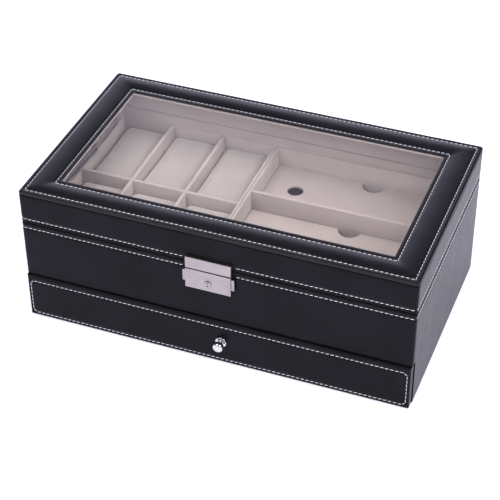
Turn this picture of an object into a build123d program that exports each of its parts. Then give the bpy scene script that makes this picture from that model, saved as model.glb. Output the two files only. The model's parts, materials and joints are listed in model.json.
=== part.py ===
# Two-tier watch and jewelry box: a glazed hinged lid over six cushioned watch cells and
# a two-part glasses bay, with a full-width drawer below.
# Millimetres. +Z up, -Y is the front, +X is right; the origin is the middle of the underside.
import os

from build123d import *

os.makedirs("parts", exist_ok=True)

# Outer size
box_width = 330.0
box_depth = 190.0
corner_radius = 2.5
wall = 6.0                  # leather-wrapped board
liner = 1.5                 # velvet-covered board inside the walls
wrap_rounding = 0.9         # rounding of a leather-wrapped edge

# Heights
base_rim = 9.3              # base walls above the divider tops
lid_gap = 0.6               # parting line between base and lid
lid_wall_height = 26.9
frame_thickness = 4.4
felt_thickness = 0.8
bottom_thickness = 4.0
drawer_bay_height = 38.8    # clear height of the bay the drawer runs in
deck_thickness = 4.0
lining_thickness = 1.0
cell_depth = 38.4           # from the deck up to the tops of the dividers

# Lid window
frame_side_width = 26.5
frame_end_width = 25.5      # front and back strips
glass_thickness = 2.2
glass_overlap = 3.0
glass_clearance = 0.3
frame_lip = 2.0
retainer_thickness = 1.2

# Divisions of the tray
cell_columns = 3
divider = 3.0
row_divider_y = 0.0
partition_x = -12.8         # middle of the double partition between watches and glasses
partition_board = 2.0
partition_slit = 0.6
glasses_divider_y = 20.5
floor_board_drop = 18.0     # from the divider tops down to the lift-out boards
floor_board = 2.0
board_clearance = 0.6
board_front_clearance = 1.5
ledge_width = 4.0
seat_gap = 0.3              # under anything that rests on cloth
finger_hole_radius = 7.0
finger_hole_at = (15.5, 56.0)
finger_notch_radius = 9.5
finger_notch_x = 76.0
finger_notch_inset = 2.0

# Watch cushions
cushion_height = 27.8
cushion_side_gap = 2.9
cushion_end_gap = 2.5
cushion_corner = 7.0

# Drawer
drawer_front_thickness = 8.6
drawer_front_proud = 2.0
drawer_front_side_inset = 0.8
drawer_front_bottom_gap = 0.8
drawer_gap = 0.9            # shadow line above the drawer front
drawer_side_gap = 0.5
drawer_running_gap = 0.1
drawer_board = 5.0
drawer_bottom = 3.0
drawer_side_height = 32.5
drawer_divider_drop = 4.0
drawer_back_height = 35.5
drawer_back_gap = 5.0
drawer_travel = 120.0
glide_thickness = 0.6
glide_width = 12.0
stop_depth = 12.0
stop_width = 30.0
stop_x = 100.0
stop_height = 4.4

# Knob
knob_x = 7.5
knob_rise = 0.25            # above the middle of the drawer front
knob_flange_radius = 4.7
knob_head_radius = 4.3
knob_neck_radius = 2.1
knob_flange = 1.1
knob_neck = 2.4
knob_head = 5.5
knob_end_wall = 2.0         # metal left in front of the screw's bore
knob_screw_radius = 1.25
screw_clearance = 0.1
screw_tip_gap = 0.5
screw_head_radius = 3.0
screw_head_height = 1.8
screw_slot = 0.6

# Clasp
clasp_x = -2.0
clasp_width = 38.4
lock_drop = 4.1             # from the base's top edge down to the lock
lock_height = 18.2
lock_proud = 3.6
lock_skin = 0.9
plate_rounding = 0.45
lock_back = 0.7
hasp_height = 10.5
hasp_thickness = 2.9
hasp_face_gap = 0.3
hasp_gap = 0.3              # from the lock up to the hasp
tongue_width = 12.0
tongue_thickness = 0.8
tongue_length = 7.0
tongue_play = 1.0           # sideways, in the lock's mouth
mouth_gap = 0.2             # behind the lock's skin
button_height = 10.4
button_rise = 1.55          # middle of the buttons above the middle of the lock
button_thickness = 1.5
button_reach = 2.6          # how far each squeeze button stands out sideways
button_length = 11.0
button_travel = 1.5
button_fit = 0.1
spring_radius = 0.6
spring_length = 5.0
spring_bore = 0.65
spring_seat = 2.5           # from the key cylinder out to the spring
spring_foot = 1.0
spring_end_gap = 0.2
key_radius = 2.9
key_bore = 2.95
key_proud = 0.5
key_socket_radius = 0.45    # two small sockets for the key's pins
key_socket_spread = 1.3
key_socket_depth = 1.2
key_drop = 11.2             # from the lock's top edge to the keyhole

# Lid hinges
hinge_x = 100.0
hinge_length = 38.0
hinge_proud = 1.4           # pin line behind the back wall
knuckle_radius = 2.2
pin_radius = 1.0
pin_fit = 0.05
pin_head = 0.4
leaf_thickness = 1.0
leaf_inset = 5.6
leaf_gap = 0.4
leaf_fit = 0.2
knuckle_relief = 0.4
knuckle_gap = 0.2
outer_knuckle = 9.0
screw_spread = 13.0
wood_screw_radius = 0.8
wood_screw_length = 5.0

# Folding lid stay on the left wall
stay_back = 68.4            # from the hinge line forward to the stay's two pivots
stay_base_drop = 5.4        # base pivot below the hinge line
stay_lid_rise = 3.6         # lid pivot above the hinge line
stay_width = 7.0
stay_plate = 0.7
stay_gap = 0.1
stay_rivet = 1.3
stay_rivet_fit = 0.05
stay_rivet_head = 2.3
stay_rivet_cap = 0.3
stay_screw_radius = 1.6
stay_screw_shares = (0.4, 0.8)
stay_rim = 1.0              # lid bracket above its arm
base_bracket_length = 50.0
lid_bracket_length = 34.0

# Places worked out from the sizes
half_width = box_width / 2
half_depth = box_depth / 2
over = 1.0                  # how far a cut runs past what it cuts
inner_x = half_width - wall
inner_y = half_depth - wall
bay_x = inner_x - liner
bay_y = inner_y - liner
bottom_top = felt_thickness + bottom_thickness
deck_bottom = bottom_top + drawer_bay_height
deck_top = deck_bottom + deck_thickness
cell_floor = deck_top + lining_thickness
divider_top = deck_top + cell_depth
base_height = divider_top + base_rim
board_top = divider_top - floor_board_drop
board_bottom = board_top - floor_board
lid_bottom = base_height + lid_gap
lid_wall_top = lid_bottom + lid_wall_height
box_height = lid_wall_top + frame_thickness
window_x = half_width - frame_side_width
window_y = half_depth - frame_end_width
hinge_y = half_depth + hinge_proud
hinge_z = base_height + lid_gap / 2
partition_half = partition_board + partition_slit / 2
partition_left = partition_x - partition_half
partition_right = partition_x + partition_half
cell_width = (partition_left + bay_x - (cell_columns - 1) * divider) / cell_columns
column_step = cell_width + divider
drawer_back_y = inner_y - drawer_back_gap
drawer_face_y = -half_depth - drawer_front_proud
drawer_front_back_y = drawer_face_y + drawer_front_thickness
drawer_floor = bottom_top + glide_thickness + drawer_running_gap
drawer_half = inner_x - drawer_side_gap
drawer_front_top = deck_bottom - drawer_gap
knob_z = (drawer_front_bottom_gap + drawer_front_top) / 2 + knob_rise
front_y = -half_depth


def slab(x, y, z, mode=Mode.ADD):
    """A block between two values on each axis."""
    with Locations(((x[0] + x[1]) / 2, (y[0] + y[1]) / 2, (z[0] + z[1]) / 2)):
        Box(x[1] - x[0], y[1] - y[0], z[1] - z[0], mode=mode)


def rod(centre, radius, length, axis, mode=Mode.ADD):
    """A round bar centred on a point, along the X, Y or Z axis."""
    turn = {"x": (0, 90, 0), "y": (90, 0, 0), "z": (0, 0, 0)}[axis]
    with Locations(Location(centre, turn)):
        Cylinder(radius, length, mode=mode)


def save(piece, name):
    piece.part.label = name
    export_step(piece.part, f"parts/{name}.step")


def wall_wedge(side):
    """Plan of one of the four walls, out to the mitre lines at 45 degrees."""
    reach_x = half_width + over
    reach_y = half_depth + over
    ridge = reach_x - reach_y
    front = [(-reach_x, -reach_y), (reach_x, -reach_y), (ridge, 0), (-ridge, 0)]
    left = [(-reach_x, -reach_y), (-ridge, 0), (-reach_x, reach_y)]
    points = {
        "front": front,
        "back": [(x, -y) for x, y in front],
        "left": left,
        "right": [(-x, y) for x, y in left],
    }[side]
    Polygon(*points, align=None)


def wall_of(ring, side, name):
    """Cut one mitred wall out of a ring of four."""
    with BuildPart() as piece:
        add(ring.part)
        with BuildSketch(Plane.XY.offset(-over)):
            wall_wedge(side)
        extrude(amount=box_height + 2 * over, mode=Mode.INTERSECT)
    save(piece, name)


def hinge_screw_places():
    """Plan positions of the small screws along both hinges, inside the wall's thickness."""
    y = half_depth - leaf_inset / 2
    return [(side * hinge_x + along, y) for side in (-1, 1) for along in (-screw_spread, screw_spread)]


def hinge_bed(leaf_bottom, leaf_top, screw_z):
    """Cut the leaf's bed, the knuckle's hollow and the screw holes out of a back wall."""
    for side in (-1, 1):
        x = (side * hinge_x - hinge_length / 2 - leaf_fit, side * hinge_x + hinge_length / 2 + leaf_fit)
        slab(x, (half_depth - leaf_inset, hinge_y), (leaf_bottom, leaf_top), Mode.SUBTRACT)
        rod((side * hinge_x, hinge_y, hinge_z), knuckle_radius + knuckle_relief,
            hinge_length + 4 * knuckle_gap + 2 * pin_head, "x", Mode.SUBTRACT)
    for x, y in hinge_screw_places():
        rod((x, y, screw_z), wood_screw_radius, wood_screw_length, "z", Mode.SUBTRACT)


# Base: four mitred walls, with the drawer's mouth cut through the front
base_leaf_top = hinge_z - leaf_gap / 2
base_leaf_bottom = base_leaf_top - leaf_thickness
lid_leaf_bottom = hinge_z + leaf_gap / 2
lid_leaf_top = lid_leaf_bottom + leaf_thickness
base_screw_z = base_leaf_bottom - wood_screw_length / 2
lid_screw_z = lid_leaf_top + wood_screw_length / 2

with BuildPart() as base_ring:
    with BuildSketch():
        RectangleRounded(box_width, box_depth, corner_radius)
    extrude(amount=base_height)
    fillet(base_ring.edges().group_by(Axis.Z)[-1], wrap_rounding)
    slab((-inner_x, inner_x), (-inner_y, inner_y), (-over, base_height + over), Mode.SUBTRACT)
    slab((-half_width - over, half_width + over), (front_y - over, drawer_front_back_y + drawer_side_gap),
         (-over, deck_bottom), Mode.SUBTRACT)
    hinge_bed(base_leaf_bottom, base_height + over, base_screw_z)

wall_of(base_ring, "front", "front_rail")
wall_of(base_ring, "back", "back_panel")
wall_of(base_ring, "left", "left_side_panel")
wall_of(base_ring, "right", "right_side_panel")

floor_front_y = drawer_front_back_y + drawer_side_gap
with BuildPart() as bottom_panel:
    slab((-inner_x, inner_x), (floor_front_y, inner_y), (felt_thickness, bottom_top))
save(bottom_panel, "bottom_panel")

with BuildPart() as underside_felt:
    slab((-inner_x, inner_x), (floor_front_y, inner_y), (0, felt_thickness))
save(underside_felt, "underside_felt")

with BuildPart() as deck_panel:
    slab((-inner_x, inner_x), (-inner_y, inner_y), (deck_bottom, deck_top))
save(deck_panel, "deck_panel")

# Velvet-covered liners stand on the deck and stop level with the divider tops
with BuildPart() as end_liners:
    for side in (-1, 1):
        y = sorted((side * inner_y, side * bay_y))
        slab((-inner_x, inner_x), y, (deck_top, divider_top))
save(end_liners, "front_and_back_liners")

with BuildPart() as side_liners:
    for side in (-1, 1):
        x = sorted((side * inner_x, side * bay_x))
        slab(x, (-bay_y, bay_y), (deck_top, divider_top))
save(side_liners, "side_liners")

with BuildPart() as tray_lining:
    slab((-bay_x, partition_left), (-bay_y, bay_y), (deck_top, cell_floor))
    slab((partition_right, bay_x), (-bay_y, bay_y), (deck_top, cell_floor))
save(tray_lining, "tray_floor_lining")

with BuildPart() as section_partition:
    y = (-bay_y, bay_y)
    slab((partition_left, partition_left + partition_board), y, (deck_top, divider_top))
    slab((partition_right - partition_board, partition_right), y, (deck_top, divider_top))
save(section_partition, "section_partition")

row_edge = divider / 2
with BuildPart() as watch_row_divider:
    y = (row_divider_y - row_edge, row_divider_y + row_edge)
    slab((-bay_x, partition_left), y, (cell_floor, divider_top))
save(watch_row_divider, "watch_row_divider")

with BuildPart() as glasses_divider:
    y = (glasses_divider_y - row_edge, glasses_divider_y + row_edge)
    slab((partition_right, bay_x), y, (cell_floor, divider_top))
save(glasses_divider, "glasses_divider")

watch_rows = {
    "back": (row_divider_y + row_edge, bay_y),
    "front": (-bay_y, row_divider_y - row_edge),
}
for row_name, row_y in watch_rows.items():
    with BuildPart() as cell_dividers:
        for column in range(1, cell_columns):
            right = -bay_x + column * column_step
            slab((right - divider, right), row_y, (cell_floor, divider_top))
    save(cell_dividers, f"{row_name}_cell_dividers")

# Lift-out boards of the glasses bay, on narrow ledges
bay_parts = {
    "back": (glasses_divider_y + row_edge, bay_y),
    "front": (-bay_y, glasses_divider_y - row_edge),
}
with BuildPart() as board_ledges:
    for part_y in bay_parts.values():
        for x in ((partition_right, partition_right + ledge_width), (bay_x - ledge_width, bay_x)):
            slab(x, part_y, (cell_floor, board_bottom))
save(board_ledges, "floor_board_ledges")

board_x = (partition_right + board_clearance, bay_x - board_clearance)
notch_y = {"back": bay_y - finger_notch_inset, "front": glasses_divider_y - row_edge}
for part_name, part_y in bay_parts.items():
    with BuildPart() as lift_out_board:
        y = (part_y[0] + board_clearance, part_y[1] - board_clearance)
        if part_name == "front":
            y = (part_y[0] + board_front_clearance, y[1])
        slab(board_x, y, (board_bottom, board_top))
        rod((finger_notch_x, notch_y[part_name], board_top), finger_notch_radius,
            4 * floor_board, "z", Mode.SUBTRACT)
        if part_name == "back":
            rod((*finger_hole_at, board_top), finger_hole_radius, 4 * floor_board, "z", Mode.SUBTRACT)
    save(lift_out_board, f"{part_name}_floor_board")

# Watch cushions: a low pillow, drawn in at the foot and crowned on top
cushion_shares = (
    (0.00, 0.90),
    (0.12, 0.98),
    (0.30, 1.00),
    (0.76, 1.00),
    (0.90, 0.97),
    (0.97, 0.91),
    (1.00, 0.83),
)                           # share of the height, share of the plan


def watch_cushion(x, y, width, length, bottom):
    with BuildPart() as cushion:
        for rise, share in cushion_shares:
            level = Plane.XY.offset(bottom + rise * cushion_height)
            with BuildSketch(level):
                with Locations((x, y)):
                    shrink = (1 - share) * width
                    RectangleRounded(width - shrink, length - shrink, share * cushion_corner)
        loft()
    return cushion


for row_name, row_y in watch_rows.items():
    for column in range(cell_columns):
        cell_x = -bay_x + column * column_step + cell_width / 2
        cell_y = (row_y[0] + row_y[1]) / 2
        cushion = watch_cushion(
            cell_x, cell_y,
            cell_width - 2 * cushion_side_gap,
            row_y[1] - row_y[0] - 2 * cushion_end_gap,
            cell_floor + seat_gap,
        )
        save(cushion, f"{row_name}_watch_cushion_{column + 1}")

# Drawer bay: felt glides under the drawer, stops under the deck
with BuildPart() as drawer_glides:
    for side in (-1, 1):
        x = sorted((side * inner_x, side * (inner_x - glide_width)))
        slab(x, (floor_front_y, drawer_back_y), (bottom_top, bottom_top + glide_thickness))
save(drawer_glides, "drawer_glides")

stop_back_y = drawer_back_y - drawer_board - drawer_travel - seat_gap
with BuildPart() as drawer_stops:
    for side in (-1, 1):
        x = (side * stop_x - stop_width / 2, side * stop_x + stop_width / 2)
        slab(x, (stop_back_y - stop_depth, stop_back_y), (deck_bottom - stop_height, deck_bottom))
save(drawer_stops, "drawer_stops")

# Drawer: a wrapped overlay front and a lined tray behind it
with BuildPart() as drawer_front:
    with BuildSketch(Plane.XY.offset(drawer_front_bottom_gap)):
        with Locations((0, (drawer_face_y + drawer_front_back_y) / 2)):
            Rectangle(2 * (half_width - drawer_front_side_inset), drawer_front_thickness)
    extrude(amount=drawer_front_top - drawer_front_bottom_gap)
    face_edges = drawer_front.faces().sort_by(Axis.Y)[0].edges()
    fillet(face_edges, 2 * wrap_rounding)
    rod((knob_x, drawer_front_back_y, knob_z), knob_screw_radius + screw_clearance,
        4 * drawer_front_thickness, "y", Mode.SUBTRACT)
save(drawer_front, "drawer_front")

drawer_inner = drawer_half - drawer_board
drawer_tray_floor = drawer_floor + drawer_bottom
with BuildPart() as drawer_sides:
    for side in (-1, 1):
        x = sorted((side * drawer_half, side * drawer_inner))
        slab(x, (drawer_front_back_y, drawer_back_y - drawer_board),
             (drawer_floor, drawer_floor + drawer_side_height))
save(drawer_sides, "drawer_sides")

with BuildPart() as drawer_back:
    slab((-drawer_half, drawer_half), (drawer_back_y - drawer_board, drawer_back_y),
         (drawer_floor, drawer_floor + drawer_back_height))
save(drawer_back, "drawer_back")

with BuildPart() as drawer_floor_panel:
    slab((-drawer_inner, drawer_inner), (drawer_front_back_y, drawer_back_y - drawer_board),
         (drawer_floor, drawer_tray_floor))
save(drawer_floor_panel, "drawer_floor_panel")

with BuildPart() as drawer_lining:
    slab((-drawer_inner, drawer_inner), (drawer_front_back_y, drawer_back_y - drawer_board),
         (drawer_tray_floor, drawer_tray_floor + lining_thickness))
save(drawer_lining, "drawer_floor_lining")

drawer_divider_top = drawer_floor + drawer_side_height - drawer_divider_drop
with BuildPart() as drawer_dividers:
    for share in (-1, 1):
        x = share * drawer_inner / 3
        slab((x - row_edge, x + row_edge), (drawer_front_back_y, drawer_back_y - drawer_board),
             (drawer_tray_floor + lining_thickness, drawer_divider_top))
save(drawer_dividers, "drawer_dividers")

# Knob, turned in one piece and held by a screw from inside
knob_length = knob_flange + knob_neck + knob_head
with BuildPart() as drawer_knob:
    with BuildSketch(Plane.XZ.offset(-drawer_face_y)):
        with Locations((knob_x, knob_z)):
            Circle(knob_flange_radius)
    extrude(amount=knob_flange)
    fillet(drawer_knob.edges().sort_by(Axis.Y)[0], 0.45 * knob_flange)
    with BuildSketch(Plane.XZ.offset(-drawer_face_y + knob_flange)):
        with Locations((knob_x, knob_z)):
            Circle(knob_neck_radius)
    extrude(amount=knob_neck)
    with BuildSketch(Plane.XZ.offset(-drawer_face_y + knob_flange + knob_neck)):
        with Locations((knob_x, knob_z)):
            Circle(knob_head_radius)
    extrude(amount=knob_head)
    head_rims = drawer_knob.edges().filter_by(
        lambda edge: edge.geom_type == GeomType.CIRCLE
        and abs(edge.radius - knob_head_radius) < 0.01
    )
    fillet(head_rims, 0.35 * knob_head)
    rod((knob_x, drawer_face_y, knob_z), knob_screw_radius + pin_fit,
        2 * (knob_length - knob_end_wall), "y", Mode.SUBTRACT)
save(drawer_knob, "drawer_knob")

screw_reach = drawer_front_thickness + knob_length - knob_end_wall - screw_tip_gap
with BuildPart() as knob_screw:
    rod((knob_x, drawer_front_back_y - screw_reach / 2, knob_z), knob_screw_radius, screw_reach, "y")
    rod((knob_x, drawer_front_back_y + screw_head_height / 2, knob_z), screw_head_radius,
        screw_head_height, "y")
    slab((knob_x - 2 * screw_head_radius, knob_x + 2 * screw_head_radius),
         (drawer_front_back_y + 0.5 * screw_head_height, drawer_front_back_y + screw_head_height + over),
         (knob_z - screw_slot / 2, knob_z + screw_slot / 2), Mode.SUBTRACT)
save(knob_screw, "knob_screw")

# Lid: four mitred walls under a wrapped frame with a rebated pane
with BuildPart() as lid_ring:
    with BuildSketch(Plane.XY.offset(lid_bottom)):
        RectangleRounded(box_width, box_depth, corner_radius)
    extrude(amount=lid_wall_height)
    fillet(lid_ring.edges().group_by(Axis.Z)[-1], wrap_rounding)
    fillet(lid_ring.edges().group_by(Axis.Z)[0], wrap_rounding)
    slab((-inner_x, inner_x), (-inner_y, inner_y), (lid_bottom - over, lid_wall_top + over),
         Mode.SUBTRACT)
    hinge_bed(lid_bottom - over, lid_leaf_top, lid_screw_z)

for side in ("front", "back", "left", "right"):
    wall_of(lid_ring, side, f"lid_{side}_wall")

glass_bottom = box_height - frame_lip - glass_thickness
glass_x = window_x + glass_overlap
glass_y = window_y + glass_overlap
with BuildPart() as lid_top_frame:
    with BuildSketch(Plane.XY.offset(lid_wall_top)):
        RectangleRounded(box_width, box_depth, corner_radius)
    extrude(amount=frame_thickness)
    fillet(lid_top_frame.edges().group_by(Axis.Z)[-1], 2 * wrap_rounding)
    fillet(lid_top_frame.edges().group_by(Axis.Z)[0], wrap_rounding)
    slab((-window_x, window_x), (-window_y, window_y), (lid_wall_top - over, box_height + over),
         Mode.SUBTRACT)
    fillet(lid_top_frame.edges().filter_by(Axis.X).group_by(Axis.Z)[-1].sort_by(Axis.Y)[1:-1],
           wrap_rounding)
    slab((-glass_x, glass_x), (-glass_y, glass_y), (lid_wall_top - over, glass_bottom + glass_thickness),
         Mode.SUBTRACT)
save(lid_top_frame, "lid_top_frame")

pane_x = glass_x - glass_clearance
pane_y = glass_y - glass_clearance
with BuildPart() as lid_glass:
    slab((-pane_x, pane_x), (-pane_y, pane_y), (glass_bottom, glass_bottom + glass_thickness))
save(lid_glass, "lid_glass")

retainer_top = lid_wall_top
with BuildPart() as glass_retainer:
    slab((-inner_x, inner_x), (-inner_y, inner_y),
         (retainer_top - retainer_thickness, retainer_top))
    slab((-window_x, window_x), (-window_y, window_y),
         (retainer_top - 2 * retainer_thickness, retainer_top + retainer_thickness), Mode.SUBTRACT)
save(glass_retainer, "glass_retainer")

with BuildPart() as lid_liners:
    z = (lid_bottom + seat_gap, retainer_top - retainer_thickness)
    for side in (-1, 1):
        slab((-inner_x, inner_x), sorted((side * inner_y, side * bay_y)), z)
        slab(sorted((side * inner_x, side * bay_x)), (-bay_y, bay_y), z)
save(lid_liners, "lid_liners")

# Hinges: thin leaves let into the wall edges, knuckles behind the back wall
leaf_back_y = hinge_y - knuckle_radius - knuckle_gap


def hinge_leaves(leaf_z, spans, barrel_bore):
    with BuildPart() as leaves:
        for side in (-1, 1):
            for low, high in spans:
                x = side * hinge_x
                rod((x + (low + high) / 2, hinge_y, hinge_z), knuckle_radius, high - low, "x")
                slab((x + low, x + high), (leaf_back_y, hinge_y), leaf_z)
            slab((x - hinge_length / 2, x + hinge_length / 2),
                 (half_depth - leaf_inset, leaf_back_y), leaf_z)
            rod((x, hinge_y, hinge_z), barrel_bore, 2 * hinge_length, "x", Mode.SUBTRACT)
        for x, y in hinge_screw_places():
            rod((x, y, leaf_z[0]), wood_screw_radius, 4 * leaf_thickness, "z", Mode.SUBTRACT)
    return leaves


half_hinge = hinge_length / 2
outer_spans = [(-half_hinge, -half_hinge + outer_knuckle), (half_hinge - outer_knuckle, half_hinge)]
middle_half = half_hinge - outer_knuckle - knuckle_gap
base_leaves = hinge_leaves((base_leaf_bottom, base_leaf_top), outer_spans, pin_radius + pin_fit)
save(base_leaves, "hinge_base_leaves")
lid_leaves = hinge_leaves((lid_leaf_bottom, lid_leaf_top), [(-middle_half, middle_half)],
                          pin_radius + pin_fit)
save(lid_leaves, "hinge_lid_leaves")

with BuildPart() as hinge_pins:
    for side in (-1, 1):
        rod((side * hinge_x, hinge_y, hinge_z), pin_radius, hinge_length + 2 * pin_head, "x")
        for end in (-1, 1):
            x = side * hinge_x + end * (half_hinge + pin_head / 2)
            rod((x, hinge_y, hinge_z), 1.5 * pin_radius, pin_head, "x")
save(hinge_pins, "hinge_pins")

for name, head_top, toward in (("base", base_leaf_top, -1), ("lid", lid_leaf_bottom, 1)):
    with BuildPart() as leaf_screws:
        for x, y in hinge_screw_places():
            length = leaf_thickness + wood_screw_length
            rod((x, y, head_top + toward * length / 2), wood_screw_radius - pin_fit, length, "z")
    save(leaf_screws, f"hinge_screws_{name}")

# Clasp: a lock case on the base, a hasp with a tongue on the lid
clasp_half = clasp_width / 2
lock_top = base_height - lock_drop
lock_bottom = lock_top - lock_height
lock_face_y = front_y - lock_proud
lock_inner_y = lock_face_y + lock_skin
lock_mid_z = (lock_top + lock_bottom) / 2
key_z = lock_top - key_drop
cavity_half = clasp_half - lock_skin
button_middle_y = lock_inner_y + button_fit + button_thickness / 2
button_mid_z = lock_mid_z + button_rise
button_z = (button_mid_z - button_height / 2, button_mid_z + button_height / 2)

with BuildPart() as lock_case:
    slab((clasp_x - clasp_half, clasp_x + clasp_half), (lock_face_y, front_y), (lock_bottom, lock_top))
    fillet(lock_case.faces().sort_by(Axis.Y)[0].edges(), plate_rounding)
    slab((clasp_x - cavity_half, clasp_x + cavity_half), (lock_inner_y, front_y + over),
         (lock_bottom + lock_skin, lock_top - lock_skin), Mode.SUBTRACT)
    slab((clasp_x - tongue_width / 2 - tongue_play, clasp_x + tongue_width / 2 + tongue_play),
         (lock_inner_y, front_y + over), (lock_top - 2 * lock_skin, lock_top + over),
         Mode.SUBTRACT)
    slab((clasp_x - clasp_half - over, clasp_x + clasp_half + over),
         (button_middle_y - button_thickness / 2 - button_fit,
          button_middle_y + button_thickness / 2 + button_fit),
         (button_z[0] - button_fit, button_z[1] + button_fit), Mode.SUBTRACT)
    rod((clasp_x, lock_face_y, key_z), key_bore, 4 * lock_skin, "y", Mode.SUBTRACT)
save(lock_case, "lock_case")

with BuildPart() as lock_back_plate:
    slab((clasp_x - cavity_half, clasp_x + cavity_half), (front_y - lock_back, front_y),
         (lock_bottom + lock_skin, lock_top - lock_skin))
save(lock_back_plate, "lock_back_plate")

key_back_y = front_y - lock_back - button_fit
with BuildPart() as key_cylinder:
    rod((clasp_x, (lock_face_y - key_proud + key_back_y) / 2, key_z), key_radius,
        key_back_y - lock_face_y + key_proud, "y")
    for side in (-1, 1):
        rod((clasp_x + side * key_socket_spread, lock_face_y - key_proud, key_z), key_socket_radius,
            2 * key_socket_depth, "y", Mode.SUBTRACT)
save(key_cylinder, "key_cylinder")

# Squeeze buttons slide in from each side against a small spring kept in a bore
spring_inner = key_radius + spring_seat
button_inner = clasp_half + button_reach - button_length
spring_bore_depth = spring_inner + spring_length + button_travel + spring_end_gap - button_inner
for name, side in (("left", -1), ("right", 1)):
    outer = clasp_x + side * (clasp_half + button_reach)
    inner = clasp_x + side * button_inner
    with BuildPart() as release_button:
        slab(sorted((outer, inner)),
             (button_middle_y - button_thickness / 2, button_middle_y + button_thickness / 2), button_z)
        outer_face = release_button.faces().sort_by(Axis.X)[0 if side < 0 else -1]
        fillet(outer_face.edges(), 0.4 * button_thickness)
        rod((inner, button_middle_y, key_z), spring_bore, 2 * spring_bore_depth, "x", Mode.SUBTRACT)
    save(release_button, f"release_button_{name}")

with BuildPart() as button_springs:
    for side in (-1, 1):
        start = clasp_x + side * spring_inner
        rod((start + side * spring_length / 2, button_middle_y, key_z), spring_radius, spring_length, "x")
        foot = (start - side * spring_foot, start)
        slab(sorted(foot), (button_middle_y - spring_radius, front_y - lock_back),
             (key_z - 2 * spring_radius, key_z + 2 * spring_radius))
save(button_springs, "button_springs")

hasp_bottom = lock_top + hasp_gap
tongue_y = (button_middle_y - tongue_thickness / 2 + mouth_gap,
            button_middle_y + tongue_thickness / 2 + mouth_gap)
with BuildPart() as hasp_plate:
    slab((clasp_x - clasp_half, clasp_x + clasp_half), (front_y - hasp_thickness, front_y),
         (hasp_bottom, hasp_bottom + hasp_height))
    fillet(hasp_plate.faces().sort_by(Axis.Y)[0].edges(), plate_rounding)
    slab((clasp_x - clasp_half - over, clasp_x + clasp_half + over),
         (front_y - hasp_face_gap, front_y + over),
         (hasp_bottom - over, lid_bottom + wrap_rounding), Mode.SUBTRACT)
    slab((clasp_x - tongue_width / 2, clasp_x + tongue_width / 2), tongue_y,
         (hasp_bottom - tongue_length, hasp_bottom + plate_rounding))
save(hasp_plate, "hasp_plate")

# Folding lid stay. Its four pivots form a parallelogram, so the front arm keeps its slope
# and the rear arm turns with the lid.
base_pivot = (hinge_y - stay_back, hinge_z - stay_base_drop)
lid_pivot = (hinge_y - stay_back, hinge_z + stay_lid_rise)
elbow = (base_pivot[0] - stay_back, base_pivot[1] + stay_lid_rise)
bracket_x = -bay_x
lid_arm_x = bracket_x + stay_plate + stay_gap
base_arm_x = lid_arm_x + stay_plate + stay_gap
arm_half = stay_width / 2


def link(start, end, x, end_radius, rivet_hole_at):
    """A flat bar with round ends in the plane of the side wall, bored at both or one end."""
    run = (end[0] - start[0], end[1] - start[1])
    length = (run[0] ** 2 + run[1] ** 2) ** 0.5
    plane = Plane(origin=(x, *start), x_dir=(0, run[0] / length, run[1] / length), z_dir=(1, 0, 0))
    with BuildPart() as bar:
        with BuildSketch(plane):
            with Locations((length / 2, 0)):
                SlotCenterToCenter(length, 2 * end_radius)
        extrude(amount=stay_plate)
        for y, z in rivet_hole_at:
            rod((x, y, z), stay_rivet + stay_rivet_fit, 8 * stay_plate, "x", Mode.SUBTRACT)
    return bar


base_arm = link(base_pivot, elbow, base_arm_x, arm_half, (base_pivot, elbow))
save(base_arm, "stay_base_arm")
lid_arm = link(elbow, lid_pivot, lid_arm_x, arm_half, (elbow, lid_pivot))
save(lid_arm, "stay_lid_arm")

with BuildPart() as elbow_rivet:
    x = (lid_arm_x - stay_gap, base_arm_x + stay_plate)
    rod(((x[0] + x[1]) / 2, *elbow), stay_rivet, x[1] - x[0], "x")
    rod((x[1] + stay_rivet_cap / 2, *elbow), stay_rivet_head, stay_rivet_cap, "x")
save(elbow_rivet, "stay_elbow_rivet")


def bracket(pivot, z_range, length, wall_x, arm_x):
    """A plate on the wall that runs back from a pivot, with its rivet."""
    with BuildPart() as plate:
        y = (pivot[0] - arm_half, pivot[0] - arm_half + length)
        slab((wall_x, bracket_x + stay_plate), y, z_range)
        rod(((wall_x + arm_x + stay_plate) / 2, *pivot), stay_rivet,
            arm_x + stay_plate - wall_x, "x")
        rod((arm_x + stay_plate + stay_rivet_cap / 2, *pivot), stay_rivet_head, stay_rivet_cap, "x")
        for share in stay_screw_shares:
            rod((bracket_x + stay_plate, y[0] + share * length, (z_range[0] + z_range[1]) / 2),
                stay_screw_radius, 2 * stay_rivet_cap, "x")
    return plate


base_bracket = bracket(base_pivot, (divider_top + stay_gap, base_height - wrap_rounding),
                       base_bracket_length, -inner_x, base_arm_x)
save(base_bracket, "stay_base_bracket")
lid_bracket = bracket(lid_pivot, (lid_bottom + wrap_rounding, lid_pivot[1] + arm_half + stay_rim),
                      lid_bracket_length, bracket_x, lid_arm_x)
save(lid_bracket, "stay_lid_bracket")
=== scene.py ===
import json
import math

import bmesh
import bpy
from mathutils import Matrix, Vector, noise


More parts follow.
